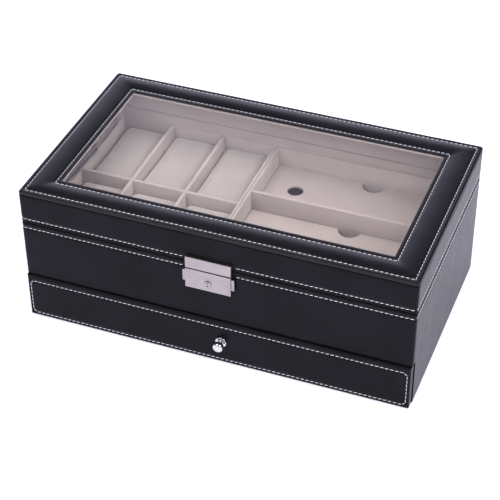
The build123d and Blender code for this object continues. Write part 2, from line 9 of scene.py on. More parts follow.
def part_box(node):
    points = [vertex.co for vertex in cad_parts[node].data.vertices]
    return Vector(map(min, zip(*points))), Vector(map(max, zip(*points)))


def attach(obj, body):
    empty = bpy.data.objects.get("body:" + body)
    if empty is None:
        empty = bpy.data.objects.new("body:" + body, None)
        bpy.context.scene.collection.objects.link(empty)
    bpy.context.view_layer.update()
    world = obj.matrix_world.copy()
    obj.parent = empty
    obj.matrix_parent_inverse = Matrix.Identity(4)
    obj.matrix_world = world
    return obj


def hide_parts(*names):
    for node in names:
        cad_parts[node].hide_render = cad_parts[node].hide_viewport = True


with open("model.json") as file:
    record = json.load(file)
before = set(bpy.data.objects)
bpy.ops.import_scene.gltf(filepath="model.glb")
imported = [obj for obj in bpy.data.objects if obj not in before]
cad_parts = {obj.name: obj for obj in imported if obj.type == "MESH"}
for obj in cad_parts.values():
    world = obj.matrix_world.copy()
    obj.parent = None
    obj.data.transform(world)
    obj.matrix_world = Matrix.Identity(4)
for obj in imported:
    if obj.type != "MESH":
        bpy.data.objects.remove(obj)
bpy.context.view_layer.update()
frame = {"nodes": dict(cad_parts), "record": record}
nodes = frame["nodes"]
mm = 0.001
weldGap = 0.01 * mm             # points closer than this are one point


# Helpers for pieces and shader trees

def place(piece, body, replaces=()):
    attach(piece, body)
    if replaces:
        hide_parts(*replaces)
    return piece


def meshPiece(name, points, faces, material, body, slot=None, replaces=()):
    mesh = bpy.data.meshes.new(name)
    mesh.from_pydata([tuple(p) for p in points], [], faces)
    bm = bmesh.new()
    bm.from_mesh(mesh)
    bmesh.ops.remove_doubles(bm, verts=bm.verts, dist=weldGap)
    bmesh.ops.recalc_face_normals(bm, faces=bm.faces)
    bm.to_mesh(mesh)
    bm.free()
    for face in mesh.polygons:
        face.use_smooth = True
    piece = bpy.data.objects.new(name, mesh)
    bpy.context.scene.collection.objects.link(piece)
    mesh.materials.append(material)
    return place(piece, body, replaces)


def startMaterial(name, settings):
    material = bpy.data.materials.new(name)
    material.use_nodes = True
    shader = material.node_tree.nodes["Principled BSDF"]
    for socket, value in settings.items():
        shader.inputs[socket].default_value = value
    return material, material.node_tree, shader


def noiseNode(tree, scale, detail=2.0, roughness=0.5, stretch=(1, 1, 1)):
    coordinates = tree.nodes.new("ShaderNodeTexCoord")
    mapping = tree.nodes.new("ShaderNodeMapping")
    mapping.inputs["Scale"].default_value = stretch
    tree.links.new(coordinates.outputs["Object"], mapping.inputs["Vector"])
    texture = tree.nodes.new("ShaderNodeTexNoise")
    texture.inputs["Scale"].default_value = scale
    texture.inputs["Detail"].default_value = detail
    texture.inputs["Roughness"].default_value = roughness
    tree.links.new(mapping.outputs["Vector"], texture.inputs["Vector"])
    return texture.outputs["Fac"]


def cellNode(tree, scale):
    coordinates = tree.nodes.new("ShaderNodeTexCoord")
    texture = tree.nodes.new("ShaderNodeTexVoronoi")
    texture.feature = "SMOOTH_F1"
    texture.inputs["Scale"].default_value = scale
    tree.links.new(coordinates.outputs["Object"], texture.inputs["Vector"])
    return texture.outputs["Distance"]


def rampNode(tree, source, stops):
    ramp = tree.nodes.new("ShaderNodeValToRGB")
    for element, (at, colour) in zip(ramp.color_ramp.elements, stops):
        element.position = at
        element.color = (*colour, 1)
    tree.links.new(source, ramp.inputs["Fac"])
    return ramp.outputs["Color"]


def rangeNode(tree, source, low, high):
    node = tree.nodes.new("ShaderNodeMapRange")
    node.inputs["To Min"].default_value = low
    node.inputs["To Max"].default_value = high
    tree.links.new(source, node.inputs["Value"])
    return node.outputs["Result"]


def bumpNode(tree, source, distance, under=None):
    bump = tree.nodes.new("ShaderNodeBump")
    bump.inputs["Distance"].default_value = distance
    tree.links.new(source, bump.inputs["Height"])
    if under:
        tree.links.new(under, bump.inputs["Normal"])
    return bump.outputs["Normal"]


# Finishes

leather = {
    "dark": (0.0022, 0.0021, 0.0034),
    "light": (0.0042, 0.0041, 0.0062),
    "roughness": (0.27, 0.36),
    "gloss": 0.09,
    "padGloss": 0.30,           # the padded frame is polished smoother
    "tonePerMetre": 28,         # cloudy change from dark to light
    "polishPerMetre": 210,
    "creasePerMetre": 320,
    "creaseDepth": 0.10 * mm,
    "grainPerMetre": 900,
    "grainDepth": 0.07 * mm,
}


def makeLeather(name, gloss):
    material, tree, shader = startMaterial(name, {"Specular IOR Level": gloss})
    link = tree.links.new
    clouds = noiseNode(tree, leather["tonePerMetre"], 4)
    link(rampNode(tree, clouds, [(0.35, leather["dark"]), (0.65, leather["light"])]),
         shader.inputs["Base Color"])
    polish = noiseNode(tree, leather["polishPerMetre"], 3)
    link(rangeNode(tree, polish, *leather["roughness"]), shader.inputs["Roughness"])
    creases = bumpNode(tree, noiseNode(tree, leather["creasePerMetre"], 5, 0.6), leather["creaseDepth"])
    grain = cellNode(tree, leather["grainPerMetre"])
    link(bumpNode(tree, grain, leather["grainDepth"], creases), shader.inputs["Normal"])
    return material


velvet = {
    "wallDark": (0.310, 0.250, 0.236),
    "wallLight": (0.385, 0.318, 0.303),
    "padDark": (0.285, 0.237, 0.227),
    "padLight": (0.345, 0.293, 0.282),
    "sheenTint": (1.0, 0.93, 0.88, 1),
    "fibrePerMetre": 2600,
    "fibreShare": 0.35,         # how much single fibres change the tone
    "wallNap": 0.12 * mm,
    "padNap": 0.14 * mm,
    "brushedPerMetre": 34,      # patches that the hand has brushed one way
    "brushed": (0.1, 0.55),
}


def makeVelvet(name, dark, light, nap):
    material, tree, shader = startMaterial(name, {
        "Roughness": 0.92, "Sheen Weight": 0.5, "Sheen Roughness": 0.45,
        "Sheen Tint": velvet["sheenTint"], "Specular IOR Level": 0.15,
    })
    link = tree.links.new
    fibres = noiseNode(tree, velvet["fibrePerMetre"], 2, 0.6)
    mixer = tree.nodes.new("ShaderNodeMath")
    mixer.operation = "MULTIPLY_ADD"
    link(fibres, mixer.inputs[0])
    mixer.inputs[1].default_value = velvet["fibreShare"]
    patches = noiseNode(tree, velvet["brushedPerMetre"], 3, 0.55)
    link(rangeNode(tree, patches, *velvet["brushed"]), mixer.inputs[2])
    tone = rampNode(tree, mixer.outputs["Value"], [(0.30, dark), (0.70, light)])
    link(tone, shader.inputs["Base Color"])
    link(bumpNode(tree, fibres, nap), shader.inputs["Normal"])
    return material


metals = {
    "satinNickel": {"colour": (0.365, 0.335, 0.325), "roughness": (0.26, 0.38), "anisotropic": 0.3,
                    "brushPerMetre": 420, "stretch": (1, 1, 14), "scratch": 0.012 * mm},
    "polishedChrome": {"colour": (0.62, 0.60, 0.61), "roughness": (0.04, 0.09), "anisotropic": 0.0,
                       "brushPerMetre": 150, "stretch": (1, 1, 1), "scratch": 0.003 * mm},
    "platedSteel": {"colour": (0.62, 0.59, 0.64), "roughness": (0.22, 0.36), "anisotropic": 0.0,
                    "brushPerMetre": 500, "stretch": (1, 6, 1), "scratch": 0.01 * mm},
}
metalDim = 0.88                 # tone of the duller patches
metalPatchPerMetre = 90


def makeMetal(name):
    metal = metals[name]
    material, tree, shader = startMaterial(name, {"Metallic": 1.0, "Anisotropic": metal["anisotropic"]})
    link = tree.links.new
    brushed = noiseNode(tree, metal["brushPerMetre"], 3, 0.6, metal["stretch"])
    dim = tuple(c * metalDim for c in metal["colour"])
    patches = noiseNode(tree, metalPatchPerMetre, 2)
    link(rampNode(tree, patches, [(0.3, dim), (0.7, metal["colour"])]), shader.inputs["Base Color"])
    link(rangeNode(tree, brushed, *metal["roughness"]), shader.inputs["Roughness"])
    link(bumpNode(tree, brushed, metal["scratch"]), shader.inputs["Normal"])
    return material


pane = {
    "tint": (0.985, 0.992, 0.988, 1),
    "refraction": 1.48,
    "lightThrough": (0.93, 0.94, 0.94, 1),
}


def makeGlass():
    # Lets the light through to the velvet below
    material, tree, shader = startMaterial("windowGlass", {
        "Base Color": pane["tint"], "Roughness": 0.0, "IOR": pane["refraction"],
        "Transmission Weight": 1.0,
    })
    rays = tree.nodes.new("ShaderNodeLightPath")
    clear = tree.nodes.new("ShaderNodeBsdfTransparent")
    clear.inputs["Color"].default_value = pane["lightThrough"]
    mix = tree.nodes.new("ShaderNodeMixShader")
    output = tree.nodes["Material Output"]
    tree.links.new(rays.outputs["Is Shadow Ray"], mix.inputs["Fac"])
    tree.links.new(shader.outputs["BSDF"], mix.inputs[1])
    tree.links.new(clear.outputs["BSDF"], mix.inputs[2])
    tree.links.new(mix.outputs["Shader"], output.inputs["Surface"])
    return material


speckled = {
    "paleThread": {"dark": (0.54, 0.53, 0.56), "light": (0.80, 0.79, 0.82), "perMetre": 1500,
                   "depth": 0.1 * mm, "roughness": 0.7, "sheen": 0.3, "gloss": 0.3},
    "fibreboard": {"dark": (0.20, 0.13, 0.08), "light": (0.34, 0.24, 0.16), "perMetre": 700,
                   "depth": 0.1 * mm, "roughness": 0.85, "sheen": 0.0, "gloss": 0.5},
    # Real felt under the box; the same finish also fills the key sockets as painted shade
    "feltAndSocketShade": {"dark": (0.012, 0.012, 0.013), "light": (0.035, 0.034, 0.036), "perMetre": 1400,
                  "depth": 0.3 * mm, "roughness": 0.97, "sheen": 0.4, "gloss": 0.5},
    "shadedVelvet": {"dark": (0.095, 0.083, 0.094), "light": (0.145, 0.130, 0.144), "perMetre": 1400,
                     "depth": 0.1 * mm, "roughness": 0.95, "sheen": 0.2, "gloss": 0.5},
}


def makeSpeckled(name):
    finish = speckled[name]
    material, tree, shader = startMaterial(name, {
        "Roughness": finish["roughness"], "Sheen Weight": finish["sheen"],
        "Specular IOR Level": finish["gloss"],
    })
    grain = noiseNode(tree, finish["perMetre"], 4, 0.7)
    tone = rampNode(tree, grain, [(0.3, finish["dark"]), (0.7, finish["light"])])
    tree.links.new(tone, shader.inputs["Base Color"])
    tree.links.new(bumpNode(tree, grain, finish["depth"]), shader.inputs["Normal"])
    return material


blackLeather = makeLeather("blackLeatherette", leather["gloss"])
paddedLeather = makeLeather("paddedLeatherette", leather["padGloss"])
wallVelvet = makeVelvet("beigeVelvet", velvet["wallDark"], velvet["wallLight"], velvet["wallNap"])
padVelvet = makeVelvet("cushionVelvet", velvet["padDark"], velvet["padLight"], velvet["padNap"])
windowGlass = makeGlass()
paleThread = makeSpeckled("paleThread")
fibreboard = makeSpeckled("fibreboard")
feltAndSocketShade = makeSpeckled("feltAndSocketShade")
shadedVelvet = makeSpeckled("shadedVelvet")
satinNickel = makeMetal("satinNickel")
polishedChrome = makeMetal("polishedChrome")
platedSteel = makeMetal("platedSteel")

finishOf = {
    "black_leatherette": blackLeather, "beige_velvet": wallVelvet, "cushion_velvet": padVelvet,
    "window_glass": windowGlass, "fibreboard": fibreboard, "black_felt": feltAndSocketShade,
    "satin_nickel": satinNickel, "polished_chrome": polishedChrome, "plated_steel": platedSteel,
}
for entry in frame["record"]["subparts"]:
    node = nodes[entry["node"]]
    node.data.materials.clear()
    node.data.materials.append(finishOf[entry["material_slot"]])


def shadeLining():
    # The tray's lining lies in the dark where the lift-out boards cover it
    lining = nodes["tray_floor_lining"].data
    lining.materials.append(shadedVelvet)
    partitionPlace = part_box("section_partition")[0].x
    for polygon in lining.polygons:
        if polygon.center.x > partitionPlace:
            polygon.material_index = 1


shadeLining()
print("finishes made")


# Places read from the frame

lowFrame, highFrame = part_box("lid_top_frame")
lowGlass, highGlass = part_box("lid_glass")
lowRail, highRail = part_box("front_rail")
lowLid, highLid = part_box("lid_front_wall")
lowDrawer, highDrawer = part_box("drawer_front")
lowRetainer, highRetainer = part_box("glass_retainer")
lowPin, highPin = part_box("hinge_pins")
lowLeaf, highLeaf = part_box("hinge_base_leaves")
halfWidth = highFrame.x
halfDepth = highFrame.y
wallDepth = halfWidth - highRetainer.x

wrap = {
    "corner": 2.6 * mm,
    "cornerSteps": 5,
    "edge": 1.3 * mm,           # rounding where the wrap turns over a board
    "grooveDepth": 0.40 * mm,   # dip pressed in by a row of stitches
    "grooveHalf": 1.9 * mm,
    "grooveShares": (-1, -0.55, -0.25, 0, 0.25, 0.55, 1),   # where a groove gets its mesh rows
    "wave": 0.14 * mm,          # unevenness of the stretched sheet
    "waveSize": 17 * mm,
    "lidSeam": 3.4 * mm,        # stitch line above the lid's lower edge
    "baseSeam": 4.7 * mm,       # stitch line below the base's upper edge
    "mouthClearance": 0.5 * mm,  # behind the drawer front
    "crispFrom": 50,            # degrees from which an edge of padded leather stays crisp
}
# The four corners seen from above, each with the direction in which its arc starts
cornerSigns = [(1, -1, -90), (1, 1, 0), (-1, 1, 90), (-1, -1, 180)]


def quarterTurn(steps, first=1):
    return [math.radians(90 * k / steps) for k in range(first, steps + 1)]


def roundedPath(halfX, halfY, radius, step=4 * mm):
    # Points and outward directions round a rectangle with rounded corners, seen from above
    centres = [Vector((signX * (halfX - radius), signY * (halfY - radius)))
               for signX, signY, start in cornerSigns]
    path = []
    for index, (signX, signY, start) in enumerate(cornerSigns):
        for turn in quarterTurn(wrap["cornerSteps"], 0):
            angle = math.radians(start) + turn
            out = Vector((math.cos(angle), math.sin(angle)))
            path.append((centres[index] + radius * out, out))
        a = path[-1][0]
        b = centres[(index + 1) % 4] + radius * out
        count = max(2, round((b - a).length / step))
        path += [(a.lerp(b, k / count), out) for k in range(1, count)]
    return path


def ringFaces(stops, count):
    # Quads between the closed sections of a closed ring
    faces = []
    for i in range(stops):
        j = (i + 1) % stops
        for k in range(count):
            n = (k + 1) % count
            faces.append((i * count + k, j * count + k, j * count + n, i * count + n))
    return faces


def wallSweep(path, profile):
    # Sweeps a closed section of (outward, height, softness) points round a closed path
    points = []
    for centre, out in path:
        for outward, height, softness in profile:
            p = Vector((centre.x + out.x * outward, centre.y + out.y * outward, height))
            shift = wrap["wave"] * softness * (noise.noise(p / wrap["waveSize"]) - 0.5)
            points.append(p + Vector((out.x, out.y, 0.0)) * shift)
    return points, ringFaces(len(path), len(profile))


def groove(away):
    # Depth of the dip at a distance from a stitch line
    near = max(0.0, 1 - abs(away) / wrap["grooveHalf"])
    return wrap["grooveDepth"] * near * near * (3 - 2 * near)


def levelsBetween(low, high, seams, step=3.5 * mm, closest=0.2 * mm):
    # Even steps, with closer ones beside each stitch line
    count = max(3, round((high - low) / step))
    levels = {low + (high - low) * k / count for k in range(count + 1)}
    for seam in seams:
        levels |= {seam + share * wrap["grooveHalf"] for share in wrap["grooveShares"]}
    kept = []
    for level in sorted(levels):
        if low <= level <= high and (not kept or level - kept[-1] > closest):
            kept.append(level)
    return kept


def wallProfile(bottom, top, seam):
    # Section of a wrapped wall, with a pressed groove along its stitch line
    edge = wrap["edge"]
    outer = [(-groove(z - seam), z, 1.0) for z in levelsBetween(bottom + edge, top - edge, [seam])]
    turn = quarterTurn(4)
    upper = [(-edge + edge * math.cos(a), top - edge + edge * math.sin(a), 0) for a in turn]
    lower = [(-edge + edge * math.cos(a), bottom + edge - edge * math.sin(a), 0) for a in reversed(turn)]
    return lower + outer + upper + [(-wallDepth, top, 0), (-wallDepth, bottom, 0)]


def cutterPiece(fill):
    mesh = bpy.data.meshes.new("cutter")
    bm = bmesh.new()
    fill(bm)
    bm.to_mesh(mesh)
    bm.free()
    cutter = bpy.data.objects.new("cutter", mesh)
    bpy.context.scene.collection.objects.link(cutter)
    return cutter


def blockCutter(low, high):
    middle = [(a + b) / 2 for a, b in zip(low, high)]
    size = [b - a for a, b in zip(low, high)]
    matrix = Matrix.Translation(middle) @ Matrix.Diagonal((*size, 1))
    return cutterPiece(lambda bm: bmesh.ops.create_cube(bm, size=1, matrix=matrix))


def barCutter(centre, radius, length, turnedAbout="Y"):
    matrix = Matrix.Translation(centre) @ Matrix.Rotation(math.radians(90), 4, turnedAbout)
    return cutterPiece(lambda bm: bmesh.ops.create_cone(
        bm, cap_ends=True, segments=32, radius1=radius, radius2=radius, depth=length, matrix=matrix))


def markSharp(piece, degrees=38):
    limit = math.radians(degrees)
    bm = bmesh.new()
    bm.from_mesh(piece.data)
    for face in bm.faces:
        face.smooth = True
    for edge in bm.edges:
        edge.smooth = len(edge.link_faces) == 2 and edge.calc_face_angle(0) < limit
    bm.to_mesh(piece.data)
    bm.free()


def evaluatedMesh(piece):
    graph = bpy.context.evaluated_depsgraph_get()
    graph.update()
    return bpy.data.meshes.new_from_object(piece.evaluated_get(graph))


def cutAway(piece, cutters):
    # Takes plain solids, such as the hinge hollows, out of a wrapped wall
    for cutter in cutters:
        modifier = piece.modifiers.new("cut", "BOOLEAN")
        modifier.operation = "DIFFERENCE"
        modifier.solver = "MANIFOLD"
        modifier.object = cutter
    cut = evaluatedMesh(piece)
    piece.modifiers.clear()
    piece.data = cut
    for cutter in cutters:
        bpy.data.objects.remove(cutter)
    markSharp(piece)


hinge = {
    "pinLength": 38.8 * mm,
    "hollowLength": 39.6 * mm,
    "hollowRadius": 2.6 * mm,
    "bedLength": 38.4 * mm,
    "bedDepth": 1.2 * mm,       # from the pin line to the back of each leaf
}
hingeCentre = highPin.x - hinge["pinLength"] / 2
pinLine = (lowPin.z + highPin.z) / 2
pinDepth = (lowPin.y + highPin.y) / 2


def hingeHollows(bedLow, bedHigh):
    cutters = []
    for side in (-1, 1):
        x = side * hingeCentre
        cutters.append(barCutter((x, pinDepth, pinLine), hinge["hollowRadius"], hinge["hollowLength"]))
        cutters.append(blockCutter((x - hinge["bedLength"] / 2, lowLeaf.y, bedLow),
                                   (x + hinge["bedLength"] / 2, pinDepth, bedHigh)))
    return cutters


# Wrapped walls of the lid and of the base, each one closed band with its stitch line

wallPath = roundedPath(halfWidth, halfDepth, wrap["corner"])
lidSeamZ = lowLid.z + wrap["lidSeam"]
lidBand = meshPiece("lidWallWrap", *wallSweep(wallPath, wallProfile(lowLid.z, highLid.z, lidSeamZ)),
                    blackLeather, "lid", "black_leatherette",
                    ("lid_front_wall", "lid_back_wall", "lid_left_wall", "lid_right_wall"))
cutAway(lidBand, hingeHollows(lowLid.z - wallDepth, pinLine + hinge["bedDepth"]))

baseSeamZ = highRail.z - wrap["baseSeam"]
baseBand = meshPiece("baseWallWrap", *wallSweep(wallPath, wallProfile(0.0, highRail.z, baseSeamZ)),
                     blackLeather, "base", "black_leatherette",
                     ("front_rail", "back_panel", "left_side_panel", "right_side_panel"))
drawerMouth = blockCutter((-halfWidth - wallDepth, -halfDepth - wallDepth, -wallDepth),
                          (halfWidth + wallDepth, highDrawer.y + wrap["mouthClearance"], lowRail.z))
cutAway(baseBand, [drawerMouth] + hingeHollows(pinLine - hinge["bedDepth"], highRail.z + wallDepth))


# Velvet turned up on the inside of the base walls, above the liners

rimLining = {
    "thickness": 0.25 * mm,
    "corner": 0.5 * mm,
    "below": 0.5 * mm,          # how far it runs down behind the liners
    "underTop": 0.15 * mm,
}
lowLiner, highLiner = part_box("side_liners")
innerPath = roundedPath(halfWidth - wallDepth, halfDepth - wallDepth, rimLining["corner"])
liningLow = highLiner.z - rimLining["below"]
liningHigh = highRail.z - rimLining["underTop"]
liningSection = [(0.0, liningLow, 0), (0.0, liningHigh, 0),
                 (-rimLining["thickness"], liningHigh, 0), (-rimLining["thickness"], liningLow, 0)]
rim = meshPiece("baseRimLining", *wallSweep(innerPath, liningSection), wallVelvet, "base", "beige_velvet")
markSharp(rim)
print("wall wraps made")


# Lid frame: four padded strips round the window, with a row of stitches along each edge

lidFrame = {
    "outerSeam": 4.3 * mm,      # from the outer edge to the outer stitches
    "innerSeamSides": 3.6 * mm,  # from the window back to the inner stitches
    "innerSeamEnds": 4.6 * mm,
    "rowStep": 1.6 * mm,
    "crown": 1.3 * mm,          # height of the padding between the two rows
    "edge": 1.7 * mm,
    "windowEdge": 0.7 * mm,
    "lip": 2.0 * mm,            # leather above the pane
    "paneOverlap": 3.0 * mm,
    "paneClearance": 0.3 * mm,
}
windowX = highGlass.x + lidFrame["paneClearance"] - lidFrame["paneOverlap"]
windowY = highGlass.y + lidFrame["paneClearance"] - lidFrame["paneOverlap"]
stripX = halfWidth - windowX
stripY = halfDepth - windowY
seamX = stripX - lidFrame["innerSeamSides"]
seamY = stripY - lidFrame["innerSeamEnds"]


def frameProfile():
    # Closed section of the front strip: over the crown, down the lip and back along the rebate
    top = highFrame.z
    outerSeam = lidFrame["outerSeam"]
    edge = lidFrame["edge"]
    inner = lidFrame["windowEdge"]
    under = wrap["edge"]
    rows = []
    for inset in levelsBetween(edge, stripY - inner, [outerSeam, seamY], lidFrame["rowStep"]):
        off = (2 * inset - outerSeam - seamY) / (seamY - outerSeam)
        away = min((inset - outerSeam, inset - seamY), key=abs)
        rows.append((inset, top - lidFrame["crown"] * min(1.0, off * off) - groove(away)))
    arc = quarterTurn(5)
    section = [(under - under * math.sin(a), lowFrame.z + under - under * math.cos(a)) for a in arc]
    section += [(edge - edge * math.cos(a), rows[0][1] - edge + edge * math.sin(a)) for a in arc[:-1]]
    section += rows
    section += [(stripY - inner + inner * math.sin(a), rows[-1][1] - inner + inner * math.cos(a))
                for a in arc]
    rebate = stripY - lidFrame["paneOverlap"]
    ledge = top - lidFrame["lip"]
    return section + [(stripY, ledge), (rebate, ledge), (rebate, lowFrame.z)]


def sideInset(inset):
    # The same point of the section on the left and right strips, which are a little wider
    marks = [(0.0, 0.0), (lidFrame["outerSeam"], lidFrame["outerSeam"]), (seamY, seamX), (stripY, stripX)]
    for (a, toA), (b, toB) in zip(marks, marks[1:]):
        if inset <= b:
            return toA + (toB - toA) * (inset - a) / (b - a)
    return toB


def cornerPlace(signX, signY, angle, inset):
    radius = wrap["corner"]
    if inset < radius:
        return Vector((signX * (halfWidth - radius) + (radius - inset) * math.cos(angle),
                       signY * (halfDepth - radius) + (radius - inset) * math.sin(angle)))
    return Vector((signX * (halfWidth - sideInset(inset)), signY * (halfDepth - inset)))


def frameMesh(step=4 * mm):
    section = frameProfile()
    stops = []
    for index, (signX, signY, start) in enumerate(cornerSigns):
        for turn in quarterTurn(wrap["cornerSteps"], 0):
            angle = math.radians(start) + turn
            stops.append([cornerPlace(signX, signY, angle, inset) for inset, z in section])
        nextX, nextY, nextStart = cornerSigns[(index + 1) % 4]
        goal = [cornerPlace(nextX, nextY, math.radians(nextStart), inset) for inset, z in section]
        begin = stops[-1]
        count = round((goal[0] - begin[0]).length / step)
        stops += [[a.lerp(b, k / count) for a, b in zip(begin, goal)] for k in range(1, count)]
    points = []
    for stop in stops:
        for at, (inset, z) in zip(stop, section):
            p = Vector((at.x, at.y, z))
            if z > highFrame.z - lidFrame["edge"]:
                p.z += wrap["wave"] * (noise.noise(p / wrap["waveSize"]) - 0.6)
            points.append(p)
    return points, ringFaces(len(stops), len(section))


topFrame = meshPiece("lidFrameWrap", *frameMesh(), paddedLeather, "lid", "black_leatherette",
                     ("lid_top_frame",))
markSharp(topFrame, wrap["crispFrom"])
print("lid frame made")


# Drawer front: wrapped board with a stitched rectangle

drawerFront = {
    "edge": 1.5 * mm,
    "seamInset": 2.7 * mm,
    "seamBottom": 3.0 * mm,
    "seamTop": 5.6 * mm,
    "seamCorner": 2.6 * mm,
    "columnStep": 4 * mm,
    "rowStep": 2.4 * mm,
}
seamLeft = lowDrawer.x + drawerFront["seamInset"]
seamRight = highDrawer.x - drawerFront["seamInset"]
seamLow = lowDrawer.z + drawerFront["seamBottom"]
seamHigh = highDrawer.z - drawerFront["seamTop"]


def toSeam(x, z):
    # Distance from a point on the drawer front to the stitched rectangle
    cut = drawerFront["seamCorner"]
    dx = abs(x - (seamLeft + seamRight) / 2) - (seamRight - seamLeft) / 2 + cut
    dz = abs(z - (seamLow + seamHigh) / 2) - (seamHigh - seamLow) / 2 + cut
    return Vector((max(dx, 0), max(dz, 0))).length + min(max(dx, dz), 0) - cut


def rolledLevels(low, high, seams, step):
    # Places along one axis, with how far each lies back behind the face
    edge = drawerFront["edge"]
    turn = quarterTurn(4)
    rolled = [(low + edge - edge * math.sin(a), edge - edge * math.cos(a)) for a in reversed(turn)]
    rolled += [(level, 0.0) for level in levelsBetween(low + edge, high - edge, seams, step)]
    return rolled + [(high - edge + edge * math.sin(a), edge - edge * math.cos(a)) for a in turn]


def drawerFrontMesh():
    # A grid over the face, closed by the rim and the back
    columns = rolledLevels(lowDrawer.x, highDrawer.x, [seamLeft, seamRight], drawerFront["columnStep"])
    rows = rolledLevels(lowDrawer.z, highDrawer.z, [seamLow, seamHigh], drawerFront["rowStep"])
    points = []
    for x, backX in columns:
        for z, backZ in rows:
            p = Vector((x, lowDrawer.y + max(backX, backZ), z))
            if not backX and not backZ:
                p.y += groove(toSeam(x, z)) - wrap["wave"] * (noise.noise(p / wrap["waveSize"]) - 0.5)
            points.append(p)
    across = len(columns)
    tall = len(rows)
    faces = [(i * tall + k, (i + 1) * tall + k, (i + 1) * tall + k + 1, i * tall + k + 1)
             for i in range(across - 1) for k in range(tall - 1)]
    rim = [i * tall for i in range(across)] + [(across - 1) * tall + k for k in range(1, tall)]
    rim += [i * tall + tall - 1 for i in range(across - 2, -1, -1)] + list(range(tall - 2, 0, -1))
    start = len(points)
    points += [Vector((points[index].x, highDrawer.y, points[index].z)) for index in rim]
    count = len(rim)
    faces += [(rim[k], rim[(k + 1) % count], start + (k + 1) % count, start + k) for k in range(count)]
    faces.append(tuple(range(start, start + count)))
    return points, faces


drawerWrap = meshPiece("drawerFrontWrap", *drawerFrontMesh(), blackLeather, "drawer",
                       "black_leatherette", ("drawer_front",))
markSharp(drawerWrap, wrap["crispFrom"])


# Stitches: short pale threads, slanting a little, each pulled down at both ends

stitch = {
    "pitch": 4.0 * mm,
    "length": 3.4 * mm,
    "radius": 0.25 * mm,
    "lift": 0.10 * mm,
    "slant": 0.12,
    "slantPerMetre": 900,       # how quickly the slant varies along a row
    "pulled": 2.2,              # how deep the ends go, in thread radii
    "taper": 0.35,
    "rings": 7,
    "sides": 6,
    "cornerGap": 1.8 * mm,      # where a row stops short of a corner
    "haspGap": 1 * mm,
    "lockGap": 4 * mm,
}


def stitchMesh(places):
    # One thread for each centre, direction along the row and direction out of the leather
    points = []
    faces = []
    rings = stitch["rings"]
    sides = stitch["sides"]
    for centre, along, out in places:
        lean = stitch["slant"] * (0.8 + 0.4 * noise.noise(centre * stitch["slantPerMetre"]))
        direction = (along + out.cross(along) * lean).normalized()
        side = out.cross(direction)
        start = len(points)
        for k in range(rings):
            share = 2 * k / (rings - 1) - 1
            middle = centre + direction * (share * stitch["length"] / 2)
            middle += out * (stitch["lift"] - stitch["pulled"] * stitch["radius"] * share ** 8)
            radius = stitch["radius"] * (1 - stitch["taper"] * share ** 6)
            for n in range(sides):
                angle = 2 * math.pi * n / sides
                points.append(middle + radius * (math.cos(angle) * side + math.sin(angle) * out))
        for k in range(rings - 1):
            a = start + k * sides
            faces += [(a + n, a + (n + 1) % sides, a + sides + (n + 1) % sides, a + sides + n)
                      for n in range(sides)]
        faces.append(tuple(range(start, start + sides)))
        faces.append(tuple(range(start + (rings - 1) * sides, start + rings * sides)))
    return points, faces


def stitchRun(corners, out, closed=False):
    # Evenly spaced stitches along a line of straight pieces, sunk into the groove
    places = []
    ends = corners[1:] + ([corners[0]] if closed else [])
    for a, b in zip(corners, ends):
        a = Vector(a)
        b = Vector(b)
        count = max(1, round((b - a).length / stitch["pitch"]))
        for k in range(count):
            centre = a.lerp(b, (k + 0.5) / count) - out * wrap["grooveDepth"]
            places.append((centre, (b - a).normalized(), out))
    return places


up = Vector((0, 0, 1))
front = Vector((0, -1, 0))
right = Vector((1, 0, 0))


def frameRun(insetX, insetY):
    x = halfWidth - insetX
    y = halfDepth - insetY
    z = highFrame.z - lidFrame["crown"]
    return stitchRun([(x, -y, z), (x, y, z), (-x, y, z), (-x, -y, z)], up, closed=True)


def wallRuns(z):
    x = halfWidth - stitch["cornerGap"]
    y = halfDepth - stitch["cornerGap"]
    places = stitchRun([(-x, -halfDepth, z), (x, -halfDepth, z)], front)
    places += stitchRun([(-x, halfDepth, z), (x, halfDepth, z)], -front)
    places += stitchRun([(halfWidth, -y, z), (halfWidth, y, z)], right)
    return places + stitchRun([(-halfWidth, -y, z), (-halfWidth, y, z)], -right)


def drawerRun():
    # Once round the drawer front, with its corners cut
    face = lowDrawer.y
    cut = drawerFront["seamCorner"]
    turns = [(seamLeft + cut, seamLow), (seamRight - cut, seamLow), (seamRight, seamLow + cut),
             (seamRight, seamHigh - cut), (seamRight - cut, seamHigh), (seamLeft + cut, seamHigh),
             (seamLeft, seamHigh - cut), (seamLeft, seamLow + cut)]
    return stitchRun([(x, face, z) for x, z in turns], front, closed=True)


def clearOf(places, node, side, margin):
    # Leaves out the stitches that a fitting covers on one side of the box
    low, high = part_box(node)
    return [p for p in places
            if p[2].dot(side) < 0.5 or not low.x - margin < p[0].x < high.x + margin]


lidStitches = frameRun(lidFrame["outerSeam"], lidFrame["outerSeam"]) + frameRun(seamX, seamY)
lidStitches += clearOf(wallRuns(lidSeamZ), "hasp_plate", front, stitch["haspGap"])
meshPiece("lidStitching", *stitchMesh(lidStitches), paleThread, "lid", "black_leatherette")
baseStitches = clearOf(wallRuns(baseSeamZ), "lock_case", front, stitch["lockGap"])
meshPiece("baseStitching", *stitchMesh(baseStitches), paleThread, "base", "black_leatherette")
meshPiece("drawerStitching", *stitchMesh(drawerRun()), paleThread, "drawer", "black_leatherette")
print("stitches made")


# Watch cushions: a filled velvet bag settles once, and each cell gets its own with slight ripples

